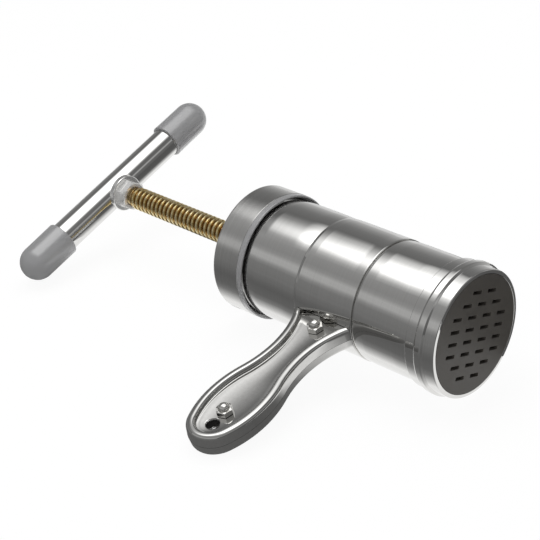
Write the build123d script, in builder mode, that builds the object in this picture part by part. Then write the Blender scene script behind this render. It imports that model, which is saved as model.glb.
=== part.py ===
from build123d import *
import math
import os

os.makedirs("parts", exist_ok=True)

# A hand-cranked pasta extruder, lying on its side.
# X runs along the barrel and out through the mould, Z is up, and the origin is the centre of
# the mould's outer face. Everything behind that face has a negative X.

# ---- Driving dimensions, in millimetres and degrees ----

# Barrel
bore_radius = 27.6
neck_radius = 28.4
body_radius = 29.5
barrel_back = -126.2
barrel_front = -3.35
back_shoulder = -113.7
front_shoulder = -15.6
shoulder_length = 3.0
shoulder_drop = 0.4
back_flare_radius = 29.85
front_flare_radius = 30.3
flare_length = 9.0
flare_lip = 1.2
shoulder_blend = 8.0
flare_blend = 40.0
lip_round = 2.0

# Small roundings and spare lengths shared by several pieces
fine_round = 0.2
edge_round = 0.3
soft_round = 0.5
seam_gap = 0.05
cut_spare = 1.0

# Hoop round the barrel, clamped by two ears inside the handle
hoop_back = -82.4
hoop_front = -47.5
hoop_radius = 29.8
hoop_wall = 0.8
hoop_roll = 0.3
hoop_blend = 10.0
seat_radius = hoop_radius - hoop_wall - seam_gap
seat_play = 0.15
ear_length = 12.0
ear_width = 12.0
ear_inside = 0.9
ear_outside = 1.85

# Side handle: distances run out from the barrel's axis, heights from the seam of the shells
handle_roll = 13.33
handle_x = (hoop_back + hoop_front) / 2
handle_root = 24.0
waist_distance = 54.0
waist_half_width = 10.6
palm_half_width = 16.2
rim_tail_radius = 48.0
web_tail_radius = 47.0
swell_radius = 54.0
palm_radius = 48.0
tip_radius = 13.4
shell_height = 5.65
web_height = 2.9
web_thickness = 1.0
shell_wall = 1.2
rim_width = 4.7
rim_outer_round = 2.2
rim_inner_round = 1.4
hoop_gap = 0.1
hang_hole_distance = 103.7
hang_hole_radius = 3.15

# Handle fasteners
screw_distances = (34.4, 95.6)
screw_radius = 2.0
screw_hole_radius = 2.15
screw_tip = 5.4
screw_head_radius = 3.9
screw_head_height = 2.2
screw_head_round = 1.2
cap_nut_width = 7.0
cap_nut_hex_height = 3.0
cap_nut_dome_radius = 3.1
cap_nut_dome_height = 2.63
cap_nut_dome_round = 2.48
cap_nut_bore_top = 5.8

# Lid
lid_radius = 31.75
lid_back = -133.7
cup_front = -117.75
cup_wall = 0.8
cup_corner = 1.4
cup_hole_radius = 7.2
liner_front = -114.8
liner_collar_radius = 31.6
liner_mouth_radius = 30.8
liner_bore_radius = 29.9
liner_web_front = -128.35
liner_hub_radius = 13.5
liner_hub_front = -125.5
liner_lead_in = 1.8
liner_corner = 0.7
liner_rib_count = 8
liner_rib_start = 13.0
liner_rib_end = 26.0
liner_rib_width = 1.4
liner_rib_height = 1.6
gasket_inner_radius = 26.4
gasket_outer_radius = 29.6
gasket_thickness = 2.05
drive_nut_width = 19.0
drive_nut_flange_radius = 12.6
drive_nut_flange = 2.05
running_clearance = 0.06

# Screw and T handle
screw_major_radius = 6.0
screw_pitch = 3.0
groove_depth = 1.65
groove_width = 1.97
groove_flank = 74.0
groove_count = 40
groove_spare = 0.1
thread_run_in = 1.3
thread_end = -219.0
stud_radius = 4.7
stud_back = -244.6
bar_x = -240.0
bar_roll = 19.2
bar_radius = 8.0
bar_wall = 1.2
bar_half_length = 64.0
collar_radius = 9.7
collar_front = -230.8
collar_back = -233.6
collar_round = 0.7
bar_nut_width = 14.5
bar_nut_front = -225.3
bar_nut_chamfer = 0.7
grip_mouth = 41.0
grip_mouth_radius = 9.45
grip_mouth_round = 0.45
grip_radius = 9.3
grip_dome_centre = 60.2

# Piston
piston_face = -91.2
piston_radius = 27.3
piston_skirt = 12.0
skirt_inner_radius = 24.9
face_thickness = 2.0
dish_radius = 11.8
dish_depth = 4.25
dish_floor = 2.1
dish_slant = 1.0
piston_edge = 1.8
journal_radius = 4.0
seal_radius = 27.54
groove_floor_radius = 25.9
groove_start = 4.0
groove_end = 8.0
end_play = 0.05
thrust_washer_radius = 9.0
thrust_washer_thickness = 1.3
piston_screw_radius = 2.5
piston_screw_head_radius = 4.8
piston_screw_head_height = 2.5
piston_screw_length = 12.0

# Mould and its ring
lip_inner_radius = 28.3
lip_thickness = 1.2
disc_flange_radius = 29.38
disc_thickness = 3.25
disc_play = 0.08
slot_length = 6.2
slot_width = 1.7
slot_corner = 0.25
slot_pitch = 11.0
row_pitch = 5.72
slots_in_row = (2, 3, 4, 4, 4, 4, 3, 2)
slot_tilt = -18.4
ring_back = -15.4
ring_radius = 30.75
ring_front_radius = 30.25
ring_bore_radius = 29.45
bead_middle = -8.0
bead_half_width = 2.1
bead_root_round = 0.5
bead_round = 1.2
front_round = 0.8

# ---- Planes of the side handle and the T handle ----

handle_sine = math.sin(math.radians(handle_roll))
handle_cosine = math.cos(math.radians(handle_roll))
# local Y runs out along the handle, local Z is the handle's upper side
handle_plane = Plane(
    origin=(handle_x, 0, 0),
    x_dir=(-1, 0, 0),
    z_dir=(0, -handle_sine, handle_cosine),
)

# the swell turns one way and back again between the waist and the palm's widest place, and
# the palm's arc turns until the tip's arc can end square on the middle line
swell_rise = (palm_half_width - waist_half_width) / (2 * swell_radius)
swell_angle = math.degrees(math.acos(1 - swell_rise))
palm_angle = math.degrees(math.acos((palm_radius - palm_half_width) / (palm_radius - tip_radius)))

bar_direction = Vector(
    0,
    -math.cos(math.radians(bar_roll)),
    -math.sin(math.radians(bar_roll)),
)
bar_plane = Plane(origin=(bar_x, 0, 0), x_dir=(1, 0, 0), z_dir=bar_direction)

slot_direction = (0, math.cos(math.radians(slot_tilt)), math.sin(math.radians(slot_tilt)))
slot_plane = Plane(origin=(0, 0, 0), x_dir=slot_direction, z_dir=(1, 0, 0))


def turned(points, radii):
    """Profile of a turned piece: X along the barrel, Y the radius, a rounding for each corner."""
    with BuildSketch(Plane.XY) as profile:
        with BuildLine():
            FilletPolyline(*points, radius=radii, close=True)
        make_face()
    return profile.sketch


def handle_outline(inset, tail_radius, root):
    """Outline of the handle in tangent arcs: fish tail at the hoop, waist, palm and tip."""
    waist = (waist_half_width - inset, waist_distance)
    tail_angle = math.degrees(math.asin((waist_distance - root) / tail_radius))
    with BuildSketch() as outline:
        with BuildLine():
            tail = JernArc(waist, (0, -1), tail_radius, tail_angle)
            swell = JernArc(waist, (0, 1), swell_radius + inset, -swell_angle)
            flank = JernArc(swell @ 1, swell % 1, swell_radius - inset, swell_angle)
            palm = JernArc(flank @ 1, flank % 1, palm_radius - inset, palm_angle)
            JernArc(palm @ 1, palm % 1, tip_radius - inset, 90 - palm_angle)
            Line(tail @ 1, (0, root))
            mirror(about=Plane.YZ)
        make_face()
    return outline.sketch


# ---- Barrel ----

with BuildPart() as barrel_tube:
    seat_back = hoop_back - seat_play
    seat_front = hoop_front + seat_play
    with BuildSketch(Plane.XY):
        add(
            turned(
                [
                    (barrel_back, bore_radius),
                    (barrel_back, neck_radius),
                    (back_shoulder, neck_radius),
                    (back_shoulder, body_radius - shoulder_drop),
                    (back_shoulder + shoulder_length, body_radius),
                    (seat_back - flare_length, body_radius),
                    (seat_back - flare_lip, back_flare_radius),
                    (seat_back, back_flare_radius),
                    (seat_back, seat_radius),
                    (seat_front, seat_radius),
                    (seat_front, body_radius - shoulder_drop / 2),
                    (seat_front + shoulder_length, body_radius + shoulder_drop / 4),
                    (front_shoulder - flare_length, body_radius),
                    (front_shoulder - flare_lip, front_flare_radius),
                    (front_shoulder, front_flare_radius),
                    (front_shoulder, neck_radius),
                    (barrel_front, neck_radius),
                    (barrel_front, bore_radius),
                ],
                [
                    0,
                    edge_round,
                    0,
                    edge_round,
                    shoulder_blend,
                    flare_blend,
                    lip_round,
                    edge_round,
                    0,
                    0,
                    fine_round,
                    shoulder_blend,
                    flare_blend,
                    lip_round,
                    edge_round,
                    0,
                    edge_round,
                    0,
                ],
            )
        )
    revolve(axis=Axis.X)
barrel_tube.part.label = "barrel_tube"
export_step(barrel_tube.part, "parts/barrel_tube.step")

# ---- Hoop: a split band, with an ear on each side of the split ----

with BuildPart() as handle_hoop:
    hoop_inside = hoop_radius - hoop_wall
    with BuildSketch(Plane.XY):
        add(
            turned(
                [
                    (hoop_back, hoop_inside),
                    (hoop_back, hoop_radius - hoop_roll),
                    (hoop_back + shoulder_length, hoop_radius),
                    (hoop_front, hoop_radius),
                    (hoop_front, hoop_inside),
                ],
                [0, fine_round, hoop_blend, fine_round, 0],
            )
        )
    revolve(axis=Axis.X)
    with BuildSketch(handle_plane.offset(-ear_inside)):
        with Locations((0, hoop_radius)):
            Rectangle(hoop_front - hoop_back + cut_spare, 4 * hoop_wall)
    extrude(amount=2 * ear_inside, mode=Mode.SUBTRACT)
    ear_middle = hoop_radius - hoop_wall / 2 + ear_length / 2
    for side in (1, -1):
        with BuildSketch(handle_plane.offset(side * ear_inside)):
            with Locations((0, ear_middle)):
                Rectangle(ear_width, ear_length)
            with Locations((0, screw_distances[0])):
                Circle(screw_hole_radius, mode=Mode.SUBTRACT)
        extrude(amount=side * (ear_outside - ear_inside))
handle_hoop.part.label = "handle_hoop"
export_step(handle_hoop.part, "parts/handle_hoop.step")

# ---- Handle shells: stamped halves with a rolled rim and a sunk web ----

for name, side in (("upper_shell", 1), ("lower_shell", -1)):
    outward = Axis(handle_plane.origin, handle_plane.z_dir * side)
    with BuildPart() as shell:
        with BuildSketch(handle_plane.offset(side * seam_gap)):
            add(handle_outline(0, rim_tail_radius, handle_root))
        extrude(amount=side * (shell_height - seam_gap))
        rim_face = shell.faces().sort_by(outward)[-1]
        fillet(rim_face.edges().filter_by(GeomType.CIRCLE), rim_outer_round)
        with BuildSketch(handle_plane.offset(side * web_height)):
            add(handle_outline(rim_width, web_tail_radius, handle_root - shell_wall))
        extrude(amount=side * (shell_height - web_height), mode=Mode.SUBTRACT)
        web_edges = shell.edges(Select.LAST).filter_by(GeomType.CIRCLE)
        fillet(web_edges.group_by(outward)[-1], rim_inner_round)
        with BuildSketch(handle_plane.offset(side * seam_gap)):
            add(handle_outline(shell_wall, rim_tail_radius + shell_wall, handle_root + shell_wall))
        extrude(amount=side * (web_height - web_thickness - seam_gap), mode=Mode.SUBTRACT)
        with BuildSketch(handle_plane.offset(side * seam_gap)):
            with Locations(*[(0, distance) for distance in screw_distances]):
                Circle(screw_hole_radius)
            with Locations((0, hang_hole_distance)):
                Circle(hang_hole_radius)
        extrude(amount=side * shell_height, mode=Mode.SUBTRACT)
        with BuildSketch(Plane.YZ.offset(handle_x)):
            Circle(hoop_radius + hoop_gap)
        extrude(amount=hoop_front - hoop_back, both=True, mode=Mode.SUBTRACT)
    shell.part.label = name
    export_step(shell.part, f"parts/{name}.step")

# ---- Handle fasteners ----

with BuildPart() as handle_screws:
    for distance in screw_distances:
        with BuildSketch(handle_plane.offset(-web_height)):
            with Locations((0, distance)):
                Circle(screw_radius)
        extrude(amount=web_height + screw_tip)
        with BuildSketch(handle_plane.offset(-web_height)):
            with Locations((0, distance)):
                Circle(screw_head_radius)
        extrude(amount=-screw_head_height)
    head_rims = handle_screws.edges().filter_by(GeomType.CIRCLE).sort_by(
        Axis(handle_plane.origin, handle_plane.z_dir)
    )[:2]
    fillet(head_rims, screw_head_round)
handle_screws.part.label = "handle_screws"
export_step(handle_screws.part, "parts/handle_screws.step")

with BuildPart() as cap_nuts:
    for distance in screw_distances:
        with BuildSketch(handle_plane.offset(web_height)):
            with Locations((0, distance)):
                RegularPolygon(cap_nut_width / 2, 6, major_radius=False)
        extrude(amount=cap_nut_hex_height)
        dome_base = handle_plane.offset(web_height + cap_nut_hex_height)
        with BuildSketch(dome_base):
            with Locations((0, distance)):
                Circle(cap_nut_dome_radius)
        extrude(amount=cap_nut_dome_height)
        with BuildSketch(handle_plane.offset(web_height)):
            with Locations((0, distance)):
                Circle(screw_radius + seam_gap)
        extrude(amount=cap_nut_bore_top - web_height, mode=Mode.SUBTRACT)
    dome_rims = cap_nuts.edges().filter_by(GeomType.CIRCLE).sort_by(
        Axis(handle_plane.origin, handle_plane.z_dir)
    )[-2:]
    fillet(dome_rims, cap_nut_dome_round)
cap_nuts.part.label = "cap_nuts"
export_step(cap_nuts.part, "parts/cap_nuts.step")

# ---- Lid: steel cup, plastic liner, drive nut and gasket ----

with BuildPart() as lid_cup:
    with BuildSketch(Plane.XY):
        add(
            turned(
                [
                    (lid_back, cup_hole_radius),
                    (lid_back, lid_radius),
                    (cup_front, lid_radius),
                    (cup_front, lid_radius - cup_wall),
                    (lid_back + cup_wall, lid_radius - cup_wall),
                    (lid_back + cup_wall, cup_hole_radius),
                ],
                [0, cup_corner, fine_round, 0, cup_corner - cup_wall, 0],
            )
        )
    revolve(axis=Axis.X)
lid_cup.part.label = "lid_cup"
export_step(lid_cup.part, "parts/lid_cup.step")

with BuildPart() as lid_liner:
    liner_back = lid_back + cup_wall + seam_gap
    liner_radius = lid_radius - cup_wall - seam_gap
    with BuildSketch(Plane.XY):
        add(
            turned(
                [
                    (liner_back, cup_hole_radius),
                    (liner_back, liner_radius),
                    (cup_front + seam_gap, liner_radius),
                    (cup_front + seam_gap, liner_collar_radius),
                    (liner_front, liner_collar_radius),
                    (liner_front, liner_mouth_radius),
                    (liner_front - liner_lead_in, liner_bore_radius),
                    (liner_web_front, liner_bore_radius),
                    (liner_web_front, liner_hub_radius),
                    (liner_hub_front, liner_hub_radius),
                    (liner_hub_front, cup_hole_radius),
                ],
                [0, liner_corner, 0, 0, soft_round, fine_round, 0, 0, 0, soft_round, 0],
            )
        )
    revolve(axis=Axis.X)
    with BuildSketch(Plane.YZ.offset(liner_web_front)):
        with PolarLocations((liner_rib_start + liner_rib_end) / 2, liner_rib_count):
            Rectangle(liner_rib_end - liner_rib_start, liner_rib_width)
    extrude(amount=liner_rib_height)
    with BuildSketch(Plane.YZ.offset(liner_back)):
        RegularPolygon(drive_nut_width / 2 + seam_gap, 6, major_radius=False)
    extrude(amount=liner_hub_front - liner_back, mode=Mode.SUBTRACT)
lid_liner.part.label = "lid_liner"
export_step(lid_liner.part, "parts/lid_liner.step")

with BuildPart() as drive_nut:
    with BuildSketch(Plane.YZ.offset(liner_back)):
        RegularPolygon(drive_nut_width / 2, 6, major_radius=False)
    extrude(amount=liner_hub_front - liner_back)
    with BuildSketch(Plane.YZ.offset(liner_hub_front)):
        Circle(drive_nut_flange_radius)
    extrude(amount=drive_nut_flange)
    flange_rim = drive_nut.edges().filter_by(GeomType.CIRCLE).sort_by(Axis.X)[-1]
    fillet(flange_rim, soft_round)
    with BuildSketch(Plane.YZ.offset(liner_back)):
        Circle(screw_major_radius + running_clearance)
    extrude(amount=liner_hub_front - liner_back + drive_nut_flange, mode=Mode.SUBTRACT)
drive_nut.part.label = "drive_nut"
export_step(drive_nut.part, "parts/drive_nut.step")

with BuildPart() as lid_gasket:
    with BuildSketch(Plane.YZ.offset(liner_web_front + seam_gap)):
        Circle(gasket_outer_radius)
        Circle(gasket_inner_radius, mode=Mode.SUBTRACT)
    extrude(amount=gasket_thickness)
lid_gasket.part.label = "lid_gasket"
export_step(lid_gasket.part, "parts/lid_gasket.step")

# ---- Screw, with a stud for the T handle and a journal for the piston ----

journal_shoulder = piston_face - dish_depth - dish_floor - end_play
journal_end = piston_face - dish_depth + end_play
screw_hole_end = journal_end - piston_screw_length - cut_spare

with BuildPart() as crank_screw:
    with BuildSketch(Plane.XY):
        add(
            turned(
                [
                    (stud_back, 0),
                    (stud_back, stud_radius),
                    (thread_end, stud_radius),
                    (thread_end + thread_run_in, screw_major_radius),
                    (journal_shoulder, screw_major_radius),
                    (journal_shoulder, journal_radius),
                    (journal_end, journal_radius),
                    (journal_end, piston_screw_radius + seam_gap),
                    (screw_hole_end, piston_screw_radius + seam_gap),
                    (screw_hole_end, 0),
                ],
                [0, soft_round, 0, 0, soft_round, 0, 0, 0, 0, 0],
            )
        )
    revolve(axis=Axis.X)
    # the thread's ridges are plain rings at its pitch
    groove_middle = screw_major_radius + groove_spare - groove_depth / 2
    with BuildSketch(Plane.XY):
        for turn in range(groove_count):
            with Locations((thread_end + thread_run_in + (turn + 0.5) * screw_pitch, groove_middle)):
                Trapezoid(groove_width, groove_depth, groove_flank, rotation=180)
    revolve(axis=Axis.X, mode=Mode.SUBTRACT)
crank_screw.part.label = "crank_screw"
export_step(crank_screw.part, "parts/crank_screw.step")

# ---- T handle ----

with BuildPart() as bar_tube:
    with BuildSketch(bar_plane.offset(-bar_half_length)):
        Circle(bar_radius)
        Circle(bar_radius - bar_wall, mode=Mode.SUBTRACT)
    extrude(amount=2 * bar_half_length)
    with BuildSketch(Plane.YZ.offset(bar_x)):
        Circle(stud_radius + seam_gap)
    extrude(amount=bar_radius + cut_spare, mode=Mode.SUBTRACT)
bar_tube.part.label = "bar_tube"
export_step(bar_tube.part, "parts/bar_tube.step")

with BuildPart() as bar_collar:
    with BuildSketch(Plane.YZ.offset(collar_back)):
        Circle(collar_radius)
        Circle(stud_radius + seam_gap, mode=Mode.SUBTRACT)
    extrude(amount=collar_front - collar_back)
    outer_rims = bar_collar.edges().filter_by(GeomType.CIRCLE).sort_by(SortBy.RADIUS)[-2:]
    fillet(outer_rims.sort_by(Axis.X)[-1], collar_round)
    with BuildSketch(bar_plane.offset(-bar_half_length)):
        Circle(bar_radius + seam_gap)
    extrude(amount=2 * bar_half_length, mode=Mode.SUBTRACT)
bar_collar.part.label = "bar_collar"
export_step(bar_collar.part, "parts/bar_collar.step")

with BuildPart() as bar_nut:
    bar_nut_corner = bar_nut_width / math.sqrt(3) + seam_gap
    with BuildSketch(Plane.YZ.offset(collar_front)):
        RegularPolygon(bar_nut_width / 2, 6, major_radius=False)
    extrude(amount=bar_nut_front - collar_front)
    # the corners of both faces are turned off at a slant
    with BuildSketch(Plane.XY):
        add(
            turned(
                [
                    (collar_front, 0),
                    (collar_front, bar_nut_width / 2),
                    (collar_front + bar_nut_chamfer, bar_nut_corner),
                    (bar_nut_front - bar_nut_chamfer, bar_nut_corner),
                    (bar_nut_front, bar_nut_width / 2),
                    (bar_nut_front, 0),
                ],
                [0, 0, 0, 0, 0, 0],
            )
        )
    revolve(axis=Axis.X, mode=Mode.INTERSECT)
    with BuildSketch(Plane.XY):
        add(
            turned(
                [
                    (collar_front - cut_spare, 0),
                    (collar_front - cut_spare, stud_radius + seam_gap),
                    (bar_nut_front - bar_nut_chamfer, stud_radius + seam_gap),
                    (bar_nut_front, stud_radius + bar_nut_chamfer),
                    (bar_nut_front + cut_spare, stud_radius + bar_nut_chamfer),
                    (bar_nut_front + cut_spare, 0),
                ],
                [0, 0, 0, 0, 0, 0],
            )
        )
    revolve(axis=Axis.X, mode=Mode.SUBTRACT)
bar_nut.part.label = "bar_nut"
export_step(bar_nut.part, "parts/bar_nut.step")

# near_grip is on the side handle's side of the barrel
for name, side in (("near_grip", 1), ("far_grip", -1)):
    grip_plane = Plane(origin=bar_plane.origin, x_dir=bar_direction * side, z_dir=(1, 0, 0))
    with BuildPart() as grip:
        with BuildSketch(grip_plane):
            with BuildLine():
                Polyline(
                    (grip_dome_centre + grip_radius, 0),
                    (bar_half_length + seam_gap, 0),
                    (bar_half_length + seam_gap, bar_radius + seam_gap),
                    (grip_mouth, bar_radius + seam_gap),
                    (grip_mouth, grip_mouth_radius),
                    (grip_dome_centre, grip_radius),
                )
                CenterArc((grip_dome_centre, 0), grip_radius, 0, 90)
            make_face()
        revolve(axis=Axis(grip_plane.origin, grip_plane.x_dir))
        fillet(grip.edges().filter_by(GeomType.CIRCLE).sort_by(SortBy.RADIUS)[-1], grip_mouth_round)
    grip.part.label = name
    export_step(grip.part, f"parts/{name}.step")

# ---- Piston ----

with BuildPart() as piston_plate:
    with BuildSketch(Plane.XY):
        add(
            turned(
                [
                    (piston_face, dish_radius),
                    (piston_face, piston_radius),
                    (piston_face - groove_start, piston_radius),
                    (piston_face - groove_start, groove_floor_radius),
                    (piston_face - groove_end, groove_floor_radius),
                    (piston_face - groove_end, piston_radius),
                    (piston_face - piston_skirt, piston_radius),
                    (piston_face - piston_skirt, skirt_inner_radius),
                    (piston_face - face_thickness, skirt_inner_radius),
                    (piston_face - face_thickness, dish_radius + 2 * dish_slant),
                    (piston_face - dish_depth - dish_floor, dish_radius + dish_slant),
                    (piston_face - dish_depth - dish_floor, journal_radius + running_clearance),
                    (piston_face - dish_depth, journal_radius + running_clearance),
                    (piston_face - dish_depth, dish_radius - dish_slant),
                ],
                [
                    dish_slant,
                    piston_edge,
                    fine_round,
                    0,
                    0,
                    fine_round,
                    edge_round,
                    edge_round,
                    soft_round,
                    soft_round,
                    dish_slant,
                    0,
                    0,
                    soft_round,
                ],
            )
        )
    revolve(axis=Axis.X)
piston_plate.part.label = "piston_plate"
export_step(piston_plate.part, "parts/piston_plate.step")

with BuildPart() as piston_seal:
    seal_start = piston_face - groove_start - seam_gap
    seal_end = piston_face - groove_end + seam_gap
    with BuildSketch(Plane.XY):
        add(
            turned(
                [
                    (seal_start, groove_floor_radius + seam_gap),
                    (seal_start, seal_radius),
                    (seal_end, seal_radius),
                    (seal_end, groove_floor_radius + seam_gap),
                ],
                [0, soft_round, soft_round, 0],
            )
        )
    revolve(axis=Axis.X)
piston_seal.part.label = "piston_seal"
export_step(piston_seal.part, "parts/piston_seal.step")

with BuildPart() as thrust_washer:
    with BuildSketch(Plane.YZ.offset(journal_end)):
        Circle(thrust_washer_radius)
        Circle(piston_screw_radius + seam_gap, mode=Mode.SUBTRACT)
    extrude(amount=thrust_washer_thickness)
thrust_washer.part.label = "thrust_washer"
export_step(thrust_washer.part, "parts/thrust_washer.step")

with BuildPart() as piston_screw:
    with BuildSketch(Plane.YZ.offset(journal_end - piston_screw_length)):
        Circle(piston_screw_radius)
    extrude(amount=piston_screw_length + thrust_washer_thickness)
    with BuildSketch(Plane.YZ.offset(journal_end + thrust_washer_thickness)):
        Circle(piston_screw_head_radius)
    extrude(amount=piston_screw_head_height)
    head_rim = piston_screw.edges().filter_by(GeomType.CIRCLE).sort_by(Axis.X)[-1]
    fillet(head_rim, screw_head_round)
piston_screw.part.label = "piston_screw"
export_step(piston_screw.part, "parts/piston_screw.step")

# ---- Mould: a stepped disc whose boss fills the ring's mouth, cut by rows of slots ----

slot_places = []
for row, count in enumerate(slots_in_row):
    for column in range(count):
        across = (column - (count - 1) / 2) * slot_pitch
        down = ((len(slots_in_row) - 1) / 2 - row) * row_pitch
        slot_places.append((across, down))

with BuildPart() as mould_disc:
    with BuildSketch(Plane.YZ.offset(-disc_thickness)):
        Circle(disc_flange_radius)
    extrude(amount=disc_thickness - lip_thickness - seam_gap)
    with BuildSketch(Plane.YZ.offset(-disc_thickness)):
        Circle(lip_inner_radius - disc_play)
    extrude(amount=disc_thickness)
    with BuildSketch(slot_plane.offset(-disc_thickness)):
        with Locations(*slot_places):
            RectangleRounded(slot_length, slot_width, slot_corner)
    extrude(amount=disc_thickness, mode=Mode.SUBTRACT)
mould_disc.part.label = "mould_disc"
export_step(mould_disc.part, "parts/mould_disc.step")

# ---- Mould ring: two bands with a rolled bead between them, and a turned-in lip ----

with BuildPart() as mould_ring:
    # the bead and the lid carry the tool when it lies on a table
    bead_radius = lid_radius
    with BuildSketch(Plane.XY):
        add(
            turned(
                [
                    (ring_back, ring_bore_radius),
                    (ring_back, ring_radius),
                    (bead_middle - bead_half_width, ring_radius),
                    (bead_middle - bead_half_width / 2, bead_radius),
                    (bead_middle + bead_half_width / 2, bead_radius),
                    (bead_middle + bead_half_width, ring_radius - 2 * seam_gap),
                    (0, ring_front_radius),
                    (0, lip_inner_radius),
                    (-lip_thickness, lip_inner_radius),
                    (-lip_thickness, ring_bore_radius),
                ],
                [
                    0,
                    edge_round,
                    bead_root_round,
                    bead_round,
                    bead_round,
                    bead_root_round,
                    front_round,
                    fine_round,
                    0,
                    0,
                ],
            )
        )
    revolve(axis=Axis.X)
mould_ring.part.label = "mould_ring"
export_step(mould_ring.part, "parts/mould_ring.step")
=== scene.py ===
import math

import bmesh
import bpy
from mathutils import Matrix, Vector


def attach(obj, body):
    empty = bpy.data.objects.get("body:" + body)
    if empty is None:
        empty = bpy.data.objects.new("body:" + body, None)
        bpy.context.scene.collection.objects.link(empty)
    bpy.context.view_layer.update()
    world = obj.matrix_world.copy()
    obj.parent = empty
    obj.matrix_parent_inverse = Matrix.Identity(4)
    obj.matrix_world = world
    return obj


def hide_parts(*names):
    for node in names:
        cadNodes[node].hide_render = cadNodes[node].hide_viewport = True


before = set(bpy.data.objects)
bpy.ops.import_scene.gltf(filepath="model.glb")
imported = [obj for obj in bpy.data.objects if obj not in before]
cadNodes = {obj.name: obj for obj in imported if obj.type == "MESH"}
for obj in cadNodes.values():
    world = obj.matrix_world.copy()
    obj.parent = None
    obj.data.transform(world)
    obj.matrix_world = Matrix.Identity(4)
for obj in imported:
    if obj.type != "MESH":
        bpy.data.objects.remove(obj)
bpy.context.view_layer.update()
mm = 0.001
tiny = 1e-6
joinGap = 0.002
fineSegments = 220
noiseLow, noiseHigh = 0.3, 0.7
print("frame loaded")


# mesh helpers, all in millimetres

def roundedProfile(corners, steps=6):
    # corners are (along, out, rounding); gives the closed line with each corner rounded
    line = []
    for i, (along, out, rounding) in enumerate(corners):
        here = Vector((along, out))
        if rounding == 0:
            line.append(here)
            continue
        toBefore = (Vector(corners[i - 1][:2]) - here).normalized()
        toAfter = (Vector(corners[(i + 1) % len(corners)][:2]) - here).normalized()
        halfAngle = toBefore.angle(toAfter) / 2
        centre = here + (toBefore + toAfter).normalized() * rounding / math.sin(halfAngle)
        first = here + toBefore * rounding / math.tan(halfAngle) - centre
        last = here + toAfter * rounding / math.tan(halfAngle) - centre
        sweep = math.atan2(first.x * last.y - first.y * last.x, first.dot(last))
        for k in range(steps + 1):
            line.append(centre + Matrix.Rotation(sweep * k / steps, 2) @ first)
    return line


def spun(along, out, turn):
    # a point on a circle round the x axis, turned from straight up towards -y
    return along, -out * math.sin(turn), out * math.cos(turn)


def hexReach(turn, flat):
    # how far out the edge of a hexagon lies, with the middle of a flat at turn 0
    slant = (turn + math.pi / 6) % (math.pi / 3) - math.pi / 6
    return flat / math.cos(slant)


def bridge(bm, lower, upper):
    # the band of faces between two rings
    for j in range(len(lower)):
        k = (j + 1) % len(lower)
        bm.faces.new((lower[j], lower[k], upper[k], upper[j]))


def evenShading(piece):
    softener = piece.modifiers.new("even shading", "WEIGHTED_NORMAL")
    softener.keep_sharp = True


def finishMesh(name, bm, material, place=None, sharpAngle=32, weighted=True):
    bmesh.ops.recalc_face_normals(bm, faces=bm.faces)
    bm.normal_update()
    for edge in bm.edges:
        if edge.is_manifold and edge.calc_face_angle(0) > math.radians(sharpAngle):
            edge.smooth = False
    for face in bm.faces:
        face.smooth = True
    bm.transform(Matrix.Scale(mm, 4))
    mesh = bpy.data.meshes.new(name)
    bm.to_mesh(mesh)
    bm.free()
    if place is not None:
        mesh.transform(place)
    mesh.materials.append(material)
    piece = bpy.data.objects.new(name, mesh)
    bpy.context.scene.collection.objects.link(piece)
    if weighted:
        evenShading(piece)
    return piece


def turnedMesh(line, segments=160):
    # spins a closed line of (along, out) round the x axis
    bm = bmesh.new()
    rings = []
    for along, out in line:
        if out < tiny:
            rings.append([bm.verts.new((along, 0, 0))])
            continue
        rings.append([
            bm.verts.new(spun(along, out, 2 * math.pi * j / segments)) for j in range(segments)
        ])
    for i, ring in enumerate(rings):
        other = rings[(i + 1) % len(rings)]
        if len(ring) == 1 and len(other) == 1:
            continue
        for j in range(segments):
            k = (j + 1) % segments
            if len(ring) == 1:
                bm.faces.new((ring[0], other[j], other[k]))
            elif len(other) == 1:
                bm.faces.new((ring[j], other[0], ring[k]))
            else:
                bm.faces.new((ring[j], other[j], other[k], ring[k]))
    return bm


def turnedPiece(name, corners, material, place=None, segments=160):
    return finishMesh(name, turnedMesh(roundedProfile(corners), segments), material, place)


def threadPiece(name, start, end, size, material):
    # a ridge that winds round the x axis; its shape is (share of the pitch, share of the height)
    shape = size["shape"]
    pitch = size["pitch"]
    segments = size["segments"]
    turns = int((end - start) / pitch) + 3
    bm = bmesh.new()
    rows = []
    for turn in range(-1, turns):
        for share, height in shape:
            row = []
            for j in range(segments):
                along = start + (turn + share + j / segments) * pitch
                along = min(max(along, start), end)
                fade = min(1, (along - start) / size["runOut"], (end - along) / size["runOut"])
                out = size["root"] + (size["crest"] - size["root"]) * height * fade
                row.append(bm.verts.new(spun(along, out, 2 * math.pi * j / segments)))
            rows.append(row)
    for i in range(len(rows) - 1):
        for j in range(segments - 1):
            bm.faces.new((rows[i][j], rows[i][j + 1], rows[i + 1][j + 1], rows[i + 1][j]))
        # the last column meets the first one a turn further on
        if i + len(shape) + 1 < len(rows):
            seam = rows[i + len(shape)][0], rows[i + len(shape) + 1][0]
            bm.faces.new((rows[i][-1], seam[0], seam[1], rows[i + 1][-1]))
    bmesh.ops.remove_doubles(bm, verts=bm.verts, dist=joinGap)
    bmesh.ops.dissolve_degenerate(bm, edges=bm.edges, dist=joinGap)
    return finishMesh(name, bm, material, sharpAngle=60, weighted=False)


def cutAway(piece, cutter):
    # takes the cutter's shape out of the piece for good
    tool = piece.modifiers.new("cut", "BOOLEAN")
    tool.operation = "DIFFERENCE"
    tool.object = cutter
    tool.solver = "EXACT"
    while piece.modifiers[0] != tool:
        piece.modifiers.remove(piece.modifiers[0])
    bpy.context.view_layer.update()
    shaped = bpy.data.meshes.new_from_object(
        piece.evaluated_get(bpy.context.evaluated_depsgraph_get())
    )
    piece.modifiers.clear()
    piece.data = shaped
    bpy.data.objects.remove(cutter)
    evenShading(piece)


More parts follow.
